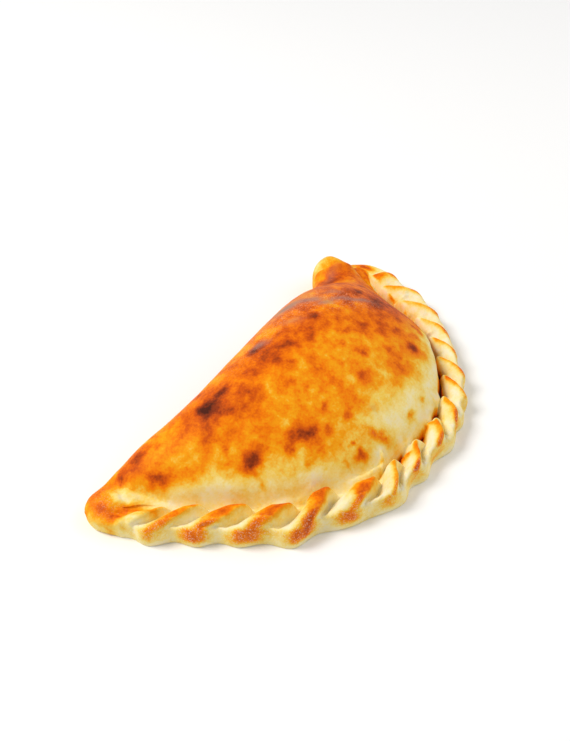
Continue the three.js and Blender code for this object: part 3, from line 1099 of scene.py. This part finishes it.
        # Ashen streaks: partly scorched dusting, partly painted sheen on the dome's ridge.
        ash_and_sheen = total(self.ashes_and_sheen, moved)
        pleat = rope * smoothstep(places.turn, *self.pleat_from)
        pleat = pleat * (1 - smoothstep(places.turn, *self.pleat_until))
        ridge = self.rope.profile(places.number, places.turn)
        pleat = pleat * (1 - smoothstep(ridge, *self.off_ridge))
        browning = heat - self.wall_pale * pleat
        return {"browning": browning, "flour_and_sheen": flour_and_sheen, "ash_and_sheen": ash_and_sheen, "pleat": pleat}

    def strands(self, places: Places) -> Array:
        """Work out how the strands of the rope run, for the fine pleats.

        Args:
            places: Where the vertices are.

        Returns:
            How far each is along the rope and round its section, in metres, one to a row.
        """
        along = places.number * self.pitch * MM
        around = places.turn / 90 * self.pitch * self.strand_stretch * MM
        return np.column_stack([along, around, np.zeros(len(along))])

    def write(self, mesh: bpy.types.Mesh, places: Places) -> None:
        """Store the values and the strands on the vertices of a mesh, one attribute to a name.

        Args:
            mesh: The mesh of the crust.
            places: Where its vertices are.
        """
        for name, value in self.values(places).items():
            attribute = mesh.attributes.new(name, "FLOAT", "POINT")
            attribute.data.foreach_set("value", value.astype(np.float32))
        attribute = mesh.attributes.new("strand", "FLOAT_VECTOR", "POINT")
        attribute.data.foreach_set("vector", self.strands(places).ravel().astype(np.float32))


@dataclass
class Wiring:
    """Adds nodes to one material and joins them up."""

    tree: bpy.types.NodeTree

    def add(self, kind: str, **settings: object) -> Node:
        """Add a node.

        Args:
            kind: Blender's name for that kind of node.
            **settings: Its plain settings.

        Returns:
            The node.
        """
        node = self.tree.nodes.new(kind)
        for name, value in settings.items():
            setattr(node, name, value)
        return node

    def feed(self, value: Socket | float | tuple[float, ...], socket: Socket) -> None:
        """Join a socket to another, or set it to a plain value.

        Args:
            value: The socket or the value that it gets.
            socket: The socket that is fed.
        """
        if isinstance(value, bpy.types.NodeSocket):
            self.tree.links.new(value, socket)
        else:
            socket.default_value = value

    def attribute(self, name: str, output: str = "Fac") -> Socket:
        """Return a named value of the mesh."""
        return self.add("ShaderNodeAttribute", attribute_name=name).outputs[output]

    def math(self, operation: str, *values: Socket | float) -> Socket:
        """Do a sum.

        Args:
            operation: Blender's name for it.
            *values: The one to three values that it takes.

        Returns:
            The result.
        """
        node = self.add("ShaderNodeMath", operation=operation)
        for value, socket in zip(values, node.inputs):
            self.feed(value, socket)
        return node.outputs[0]

    def noise(
        self, vector: Socket, size: float, detail: float = 3.0, rough: float = 0.55
    ) -> Socket:
        """Read a soft random field.

        Args:
            vector: Where to read it.
            size: Width of its lumps in millimetres.
            detail: How many finer layers it has.
            rough: How strong they are.

        Returns:
            A value around 0.5.
        """
        node = self.add("ShaderNodeTexNoise", noise_dimensions="3D")
        scale = 1.0 / (size * MM)
        inputs = {"Vector": vector, "Scale": scale, "Detail": detail, "Roughness": rough}
        for name, value in inputs.items():
            self.feed(value, node.inputs[name])
        return node.outputs["Fac"]

    def ease(self, value: Socket, start: float, end: float) -> Socket:
        """Ease from 0 at start to 1 at end.

        Args:
            value: Where to read the ramp.
            start: Value at which it leaves 0.
            end: Value at which it reaches 1.

        Returns:
            The share, from 0 to 1.
        """
        node = self.add("ShaderNodeMapRange", interpolation_type="SMOOTHSTEP")
        for name, amount in (("Value", value), ("From Min", start), ("From Max", end)):
            self.feed(amount, node.inputs[name])
        return node.outputs["Result"]

    def tones(self, value: Socket, stops: tuple[tuple[float, Tone], ...]) -> Socket:
        """Read a row of tones.

        Args:
            value: Where to read it.
            stops: The tones, each after the value at which it is pure.

        Returns:
            The colour.
        """
        node = self.add("ShaderNodeValToRGB")
        elements = node.color_ramp.elements
        elements.remove(elements[1])
        elements[0].position = stops[0][0]
        elements[0].color = stops[0][1].linear()
        for place, tone in stops[1:]:
            elements.new(place).color = tone.linear()
        self.feed(value, node.inputs["Fac"])
        return node.outputs["Color"]

    def mix(self, share: Socket, first: Socket, second: Socket | tuple[float, ...]) -> Socket:
        """Mix two colours.

        Args:
            share: How far the mix is from the first to the second.
            first: The first colour.
            second: The second colour.

        Returns:
            The mixed colour.
        """
        node = self.add("ShaderNodeMix", data_type="RGBA")
        for value, place in ((share, MIX_SHARE), (first, MIX_FIRST), (second, MIX_SECOND)):
            self.feed(value, node.inputs[place])
        return node.outputs[MIX_RESULT]


@dataclass(frozen=True)
class CrustFinish:
    """Baked dough: pale where it was shaded, golden and orange where it browned, floury below.

    patches holds the width in millimetres and the strength of its broad patches, mottling
    and freckles. dust and pores hold the width, the detail and the roughness of their grain.
    """

    stops: tuple[tuple[float, Tone], ...] = (
        (0.08, Tone.FLOUR),
        (0.24, Tone.CREAM),
        (0.38, Tone.STRAW),
        (0.50, Tone.GOLD),
        (0.62, Tone.AMBER),
        (0.74, Tone.RUST),
        (0.86, Tone.BROWN),
        (1.00, Tone.CHAR),
    )
    patches: tuple[tuple[float, float], ...] = ((12.0, 0.56), (4.5, 0.30), (1.2, 0.20))
    dust: tuple[float, float, float] = (0.9, 2.0, 0.7)
    dust_grains: Ramp = (0.52, 0.66)
    dust_and_sheen_cover: float = 0.44
    roughness: float = 0.55
    gloss: float = 0.06
    glow: float = 0.10
    glow_depth: float = 0.003
    glow_colours: tuple[float, float, float] = (1.0, 0.55, 0.25)
    pores: tuple[float, float, float] = (1.6, 4.0, 0.6)
    pore_height: float = 0.5
    pleat_height: float = 2.6
    relief_strength: float = 0.5
    relief_depth: float = 0.0006

    def mottled(self, wiring: Wiring, place: Socket) -> Socket:
        """Add uneven patches and freckles to the browning.

        Args:
            wiring: The nodes of the material.
            place: Where on the piece it is read.

        Returns:
            The uneven browning.
        """
        heat = wiring.attribute("browning")
        for size, amount in self.patches:
            uneven = wiring.math("SUBTRACT", wiring.noise(place, size), 0.5)
            heat = wiring.math("MULTIPLY_ADD", uneven, amount, heat)
        return heat

    def colour(self, wiring: Wiring, place: Socket) -> Socket:
        """Colour the crust by its browning, with floury white and ashen grey on it, partly painted
        sheen.

        Args:
            wiring: The nodes of the material.
            place: Where on the piece it is read.

        Returns:
            The colour.
        """
        colour = wiring.tones(self.mottled(wiring, place), self.stops)
        dust = wiring.ease(wiring.noise(place, *self.dust), *self.dust_grains)
        # Floury grains, which on the dome's ridge stand for painted sheen as well as dust.
        dust_and_sheen = wiring.math("MULTIPLY", dust, wiring.attribute("flour_and_sheen"))
        cover = wiring.math("MULTIPLY", dust_and_sheen, self.dust_and_sheen_cover)
        colour = wiring.mix(cover, colour, Tone.FLOUR.linear())
        # Mix in ashen grey: partly scorched dusting, partly painted sheen.
        return wiring.mix(wiring.attribute("ash_and_sheen"), colour, Tone.ASH_AND_SHEEN.linear())

    def relief(self, wiring: Wiring, place: Socket) -> Socket:
        """Make the fine relief of the crust: its pores and the pleats of the crimps.

        Args:
            wiring: The nodes of the material.
            place: Where on the piece it is read.

        Returns:
            The direction that the relief faces.
        """
        pleats = wiring.noise(wiring.attribute("strand", "Vector"), 1.0)
        pleats = wiring.math("MULTIPLY", pleats, wiring.attribute("pleat"))
        pores = wiring.math("MULTIPLY", wiring.noise(place, *self.pores), self.pore_height)
        height = wiring.math("MULTIPLY_ADD", pleats, self.pleat_height, pores)
        bump = wiring.add("ShaderNodeBump")
        bump.inputs["Strength"].default_value = self.relief_strength
        bump.inputs["Distance"].default_value = self.relief_depth
        wiring.feed(height, bump.inputs["Height"])
        return bump.outputs["Normal"]

    def dress(self, piece: bpy.types.Object) -> None:
        """Give a piece this finish.

        Args:
            piece: The piece, whose mesh holds the named values.
        """
        material = bpy.data.materials.new("baked_crust")
        material.use_nodes = True
        wiring = Wiring(material.node_tree)
        place = wiring.add("ShaderNodeTexCoord").outputs["Object"]
        settings = {
            "Base Color": self.colour(wiring, place),
            "Roughness": self.roughness,
            "Specular IOR Level": self.gloss,
            "Subsurface Weight": self.glow,
            "Subsurface Scale": self.glow_depth,
            "Subsurface Radius": self.glow_colours,
            "Normal": self.relief(wiring, place),
        }
        for name, value in settings.items():
            wiring.feed(value, material.node_tree.nodes["Principled BSDF"].inputs[name])
        piece.data.materials.append(material)


@dataclass(frozen=True)
class Lamp:
    """A soft square lamp that points at the middle of the piece."""

    name: str
    place: tuple[float, float, float]
    size: float
    power: float
    colour: tuple[float, float, float]

    def hang(self, target: Vector) -> None:
        """Put the lamp in the scene.

        Args:
            target: Where it points.
        """
        light = bpy.data.lights.new(self.name, "AREA")
        light.size = self.size
        light.energy = self.power
        light.color = self.colour
        lamp = bpy.data.objects.new(self.name, light)
        lamp.location = self.place
        lamp.rotation_euler = (target - lamp.location).to_track_quat("-Z", "Y").to_euler()
        bpy.context.scene.collection.objects.link(lamp)


@dataclass(frozen=True)
class Studio:
    """The pale floor, the soft light and the camera. Places are in metres, turns in degrees."""

    target: tuple[float, float, float] = (0.024006, 0.041636, 0.0)
    distance: float = 0.67647
    azimuth: float = -61.243
    elevation: float = 39.886
    roll: float = 0.573
    lens: float = 53.44
    sensor: float = 36.0
    nearest: float = 0.01
    floor_size: float = 6.0
    floor_colour: tuple[float, float, float, float] = (0.975, 0.973, 0.97, 1.0)
    floor_roughness: float = 0.8
    sky: float = 0.43
    sky_colour: tuple[float, float, float, float] = (1.0, 1.0, 1.0, 1.0)
    lit_point: tuple[float, float, float] = (0.0, 0.0, 0.02)
    lamps: tuple[Lamp, ...] = (
        Lamp("key_lamp", (-0.6, 1.0, 1.5), 0.8, 25.5, (1.0, 0.99, 0.97)),
        Lamp("fill_lamp", (0.9, -1.0, 1.0), 1.4, 8.0, (1.0, 0.99, 0.98)),
    )

    def lay_floor(self) -> None:
        """Lay the plain pale floor that the calzone rests on."""
        sheet = bmesh.new()
        bmesh.ops.create_grid(sheet, x_segments=2, y_segments=2, size=self.floor_size / 2)
        mesh = bpy.data.meshes.new("floor")
        sheet.to_mesh(mesh)
        sheet.free()
        floor = bpy.data.objects.new("floor", mesh)
        bpy.context.scene.collection.objects.link(floor)
        material = bpy.data.materials.new("pale_floor")
        material.use_nodes = True
        shader = material.node_tree.nodes["Principled BSDF"]
        shader.inputs["Base Color"].default_value = self.floor_colour
        shader.inputs["Roughness"].default_value = self.floor_roughness
        mesh.materials.append(material)

    def light(self) -> None:
        """Set the even light of the room and hang the lamps."""
        world = bpy.data.worlds.new("room")
        world.use_nodes = True
        background = world.node_tree.nodes["Background"]
        background.inputs["Color"].default_value = self.sky_colour
        background.inputs["Strength"].default_value = self.sky
        bpy.context.scene.world = world
        for lamp in self.lamps:
            lamp.hang(Vector(self.lit_point))

    def place_camera(self) -> None:
        """Put the camera where the piece is looked at from."""
        view = bpy.data.cameras.new("camera")
        view.sensor_fit = "VERTICAL"
        view.sensor_height = self.sensor
        view.lens = self.lens
        view.clip_start = self.nearest
        camera = bpy.data.objects.new("camera", view)
        turn = Matrix.Rotation(math.radians(self.azimuth), 4, "Z")
        tilt = Matrix.Rotation(math.radians(90 - self.elevation), 4, "X")
        roll = Matrix.Rotation(math.radians(self.roll), 4, "Z")
        back = Matrix.Translation((0.0, 0.0, self.distance))
        camera.matrix_world = Matrix.Translation(self.target) @ turn @ tilt @ roll @ back
        bpy.context.scene.collection.objects.link(camera)
        bpy.context.scene.camera = camera

    def set_up(self) -> None:
        """Make the whole studio."""
        self.lay_floor()
        self.light()
        self.place_camera()
        bpy.context.scene.view_settings.view_transform = "Standard"


BROADS = as_marks(
    (-122, 66, 22, 12, -35, 0.05), (70, 0, 26, 14, -20, 0.10), (-10, 66, 70, 12, 3, 0.16),
    (-5, -2, 40, 20, -10, -0.07), (62, -34, 18, 12, 30, -0.08), (35.5, 6, 75, 32, -10, 0.13),
    (95.5, 36, 45, 22, 25, 0.08), (-42.5, 30, 60, 14, -3, 0.09), (-85, 17, 26, 14, -60, -0.06),
    (-70.5, -11.5, 22, 10, -45, -0.10), (-26.5, -36.5, 36, 9, -8, -0.12),
    (4.5, -46, 26, 7, 0, -0.06), (-121.5, 59, 8, 6, -40, -0.26), (-118, 50, 6, 3.5, -40, -0.24),
    (-64, 47, 20, 9, 4, 0.08), (-77, 5, 10, 9, 0, 0.07), (-54.5, 63, 42, 9, 0, -0.09),
    (-110, 60, 13, 8, 0, 0.12), (24, -39, 13, 6, 15, 0.10),
)
HEATS = as_marks(
    (-69, 39, 5.5, 4, 5, 0.24, 0.4), (-69, 38.5, 11, 8, 5, 0.16),
    (-55.5, 35.5, 4.5, 2.2, 0, 0.20, 0.3), (-22.5, 34.5, 5.5, 3.5, -40, 0.32, 0.2),
    (-14, 20.5, 8, 2.5, -63, 0.15), (-78.5, 4, 5.5, 4.8, 0, 0.36, 0.5),
    (-48.5, -15.5, 4.4, 3.4, -20, 0.28, 0.5), (-53, -10, 6, 3.5, -40, 0.20, 0.3),
    (-41.5, -22, 4, 3, -10, 0.25, 0.3), (-50, -12, 13, 9, -30, 0.05), (-62, -9.5, 3, 2.5, 0, 0.22),
    (-32, -14.5, 4, 2.3, 0, 0.22, 0.3), (-27.5, -26.5, 4, 1.8, 0, 0.22),
    (-26.5, -8.5, 3, 1.2, 0, 0.12), (-22.5, 10.5, 3.5, 3, 40, 0.16),
    (-2.5, -22, 4.2, 3.2, 20, 0.25, 0.3), (-1.5, 12, 4, 2.6, 0, 0.16),
    (7.5, -3.5, 3.5, 2, -20, 0.15), (-81, 19.5, 2.5, 2.5, 0, 0.18),
    (-81, 30.5, 4.5, 1.8, -20, 0.15), (-64, 26.5, 2.8, 3.2, 0, 0.12),
    (-50.5, 27, 4.5, 2.6, 0, 0.12), (-41, 28, 5, 4, 0, 0.10), (-27.5, 27.5, 3, 5.5, 0, 0.15),
    (-108, 46, 2.8, 6, 0, 0.19), (-100, 61.5, 4, 4, 0, 0.22), (-114, 64.5, 2.2, 4.5, 10, 0.22),
    (-91.5, 70, 7, 2.5, 0, 0.18), (-133.5, 53, 2.2, 4.5, 5, 0.28), (-133.5, 64, 4, 6, 20, 0.12),
    (-93, 26.5, 6, 3.5, 0, 0.10), (-63.5, -20.5, 3, 2, 0, 0.18), (-83, -4, 1.6, 3, 20, 0.25),
    (-38, -40.5, 4.5, 2.4, -45, 0.34), (-21.5, -45.5, 7, 3, -55, 0.40),
    (-46.5, -36, 2, 1.2, -30, 0.18), (-38, -34, 3.4, 0.7, -15, 0.33), (10.5, -15, 2, 3.5, 0, 0.16),
    (18.5, -2, 3.2, 1.8, 0, 0.14), (31.5, -6, 4.2, 2.4, -10, 0.19), (47.5, -20, 4.2, 2, -5, 0.18),
    (25.5, -25, 3, 3, 0, 0.12), (44.5, -32, 4, 2.8, 0, 0.19), (55.5, -28, 4.5, 2.4, 0, 0.15),
    (20.5, -36, 6.5, 5, -30, 0.20), (66.5, -26, 2.6, 6, -20, 0.25), (33.5, -13, 3.4, 2, 0, 0.10),
    (14.5, 19, 4, 2, -60, 0.21), (60.5, 12, 5.5, 3.2, 0, 0.16), (62.5, 1, 5, 5, 0, 0.10),
    (21.5, 7, 4.5, 3.5, 0, 0.10), (-6, 28, 4.5, 3, -30, 0.15), (2.5, -51, 5, 1.8, 5, 0.34),
    (17.5, -51, 2.4, 1.3, 0, 0.25), (92.5, 46, 14, 4.5, 8, 0.18), (62.5, 36, 22, 5, 22, 0.10),
    (85.5, 21, 15, 2.4, 12, 0.11), (110.5, 61, 13, 10, 0, -0.22), (126.5, 52.5, 8, 6, -40, -0.22),
    (28, -42.5, 8, 4, 25, 0.12),
)
# Ashen grey streaks on the upper ridge: partly scorched dusting, partly painted sheen.
ASHES_AND_SHEEN = as_marks(
    (-18.5, 34.5, 5, 2.5, -40, 0.62), (20.5, 39, 9, 4, -35, 0.69), (14, 44, 26, 7, -12, 0.16),
    (40, 34, 26, 9, -8, 0.14), (29.5, 27, 7, 3.5, -60, 0.56), (29.5, 19, 5, 2, -40, 0.50),
    (38.5, 15, 7, 2, -30, 0.56), (47.5, 8, 6, 2, -40, 0.56), (53.5, 4, 5, 2, -50, 0.44),
    (5.5, 27, 6, 3, -50, 0.28), (44.5, 21, 6, 2, -30, 0.38), (60.5, 57, 16, 3, -2, 0.56),
    (5.5, 57, 10, 2, 0, 0.44), (95.5, 48, 10, 3, 5, 0.28), (-14, -34.5, 2.6, 2.2, 0, 0.18),
    (111.5, 61, 2, 2, 0, 0.25),
)
# Floury dust, and on the dome's ridge a painted sheen where the surface catches the light.
DUSTS_AND_SHEEN = as_marks(
    (-4, 39, 40, 10, -4, 0.45), (32.5, 23, 26, 12, -35, 0.50), (48.5, 5, 16, 7, -40, 0.45),
    (-129.5, 61, 10, 8, 0, 0.45), (-14, -41, 16, 6, -20, 0.30),
)


FOLDS: tuple[Fold, ...] = (
    Fold(((-131, 55, 13.5), (-128, 50.5, 14), (-124, 46, 14), (-121.5, 41.5, 13.5)), 3.0, 1.8),
    Fold(((-128, 50, 14), (-124, 45.5, 14), (-122, 41.5, 13.5), (-123, 37, 12)), 2.8, 0.2, 0.27),
    Fold(((-129, 49.5, 12), (-127, 45, 12), (-126.5, 40.5, 12)), 1.3, -1.1),
    Fold(((-131.5, 55.5, 14), (-128.5, 51, 13.5), (-126, 48, 13)), 0.9, -1.0, -0.04),
    Fold(((-133, 57, 14), (-131.5, 53, 13), (-128.5, 48, 13)), 1.3, 0.9, -0.12),
    Fold(((-124.5, 39, 13), (-129.5, 42, 13), (-133.5, 44.5, 12)), 1.8, -1.2, 0.02),
    Fold(((-117, 59, 16), (-119, 55, 15), (-119.5, 51, 14)), 1.2, -0.8, -0.03),
    Fold(((-120, 61, 16), (-123, 57, 15), (-123.5, 53, 14.5)), 2.0, 1.3, -0.14),
    Fold(((-123.5, 60, 15.5), (-126, 57, 15)), 0.8, -0.8, -0.02),
    Fold(((-119.5, 10, 14), (-117.5, 7, 12), (-114.5, 5.5, 11)), 1.1, 1.2, -0.10),
    Fold(((-118.5, 11, 15.5), (-115.5, 8, 13.5)), 0.8, -1.1, 0.04),
    Fold(((98.5, 58, 21), (100.5, 54, 24), (104.5, 50, 25), (111.5, 46, 22)), 1.8, -1.8, 0.08),
    Fold(((113.5, 45, 22), (120.5, 45, 15), (128.5, 44, 10)), 1.8, -1.0, 0.22),
    Fold(((128.5, 44, 10), (129.5, 39, 10), (124.5, 33, 10)), 1.3, -1.2, 0.22),
    Fold(((118.5, 4, 15), (115.5, 3, 13.5), (111.5, 5, 11)), 0.8, -1.3, 0.04),
    Fold(((106.5, -13, 15), (103.5, -16, 14), (100.5, -14, 12)), 0.8, -1.3, 0.04),
    Fold(((92.5, -26, 15), (89.5, -28, 13), (88.5, -25, 11)), 0.8, -1.3, 0.04),
    Fold(((77.5, -38, 15), (74.5, -40, 14), (73.5, -37, 11)), 0.8, -1.2, 0.04),
    # Brown creases where the crimps meet the dome: baked browning and painted shade in the creases.
    Fold(((-18.5, -57, 8), (-18.5, -59, 12)), 2.0, -2.0, 0.50),
    Fold(((4.5, -58, 7), (7.5, -59, 10), (9.5, -60, 12)), 1.8, -2.0, 0.50),
    Fold(((23.5, -57, 8), (25.5, -56, 13)), 1.3, -2.0, 0.45),
    Fold(((64.5, -41, 10), (59.5, -45, 7), (50.5, -49, 7), (41.5, -54, 6)), 1.6, -1.5, 0.50),
    Fold(((112.5, 13, 11), (109.5, 6, 8)), 1.0, -1.4, 0.45),
    Fold(((103.5, -2, 8), (102.5, -6, 8)), 0.9, -1.2, 0.35),
    Fold(((95.5, -11, 10), (88.5, -19, 11), (80.5, -27, 11)), 1.2, -1.2, 0.40),
    Fold(((-32.5, -49, 10), (-29.5, -49, 12.5), (-28, -47.5, 15.5)), 1.0, -1.8, 0.40),
    Fold(((-74.5, -22, 9), (-70.5, -24, 10), (-67.5, -25, 12)), 0.9, -1.2, 0.02),
    Fold(((-79.5, -29, 17), (-75.5, -30, 17), (-71.5, -32, 17)), 0.9, -1.2, 0.02),
    Fold(((17.5, -56, 15), (27.5, -56, 15)), 0.8, -0.9, 0.02),
    Fold(((135, 43, 11), (134, 36, 11)), 3.0, 0.3, 0.34),
)


def main() -> None:
    """Build the calzone and the studio round it."""
    logging.basicConfig(level=logging.INFO, format="%(name)s: %(message)s")
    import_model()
    Studio().set_up()
    outline = Outline()
    dome = Dome(outline)
    rope = Rope(outline, dome)
    piece, places = Crust(outline, dome, rope, FOLDS).build(HEATS)
    Bake(rope, BROADS, HEATS, ASHES_AND_SHEEN, DUSTS_AND_SHEEN, FOLDS).write(piece.data, places)
    CrustFinish().dress(piece)
    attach(piece, "root")
    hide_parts("calzone")
    LOG.info("%s: %d vertices", piece.name, len(piece.data.vertices))


if __name__ == "__main__":
    main()
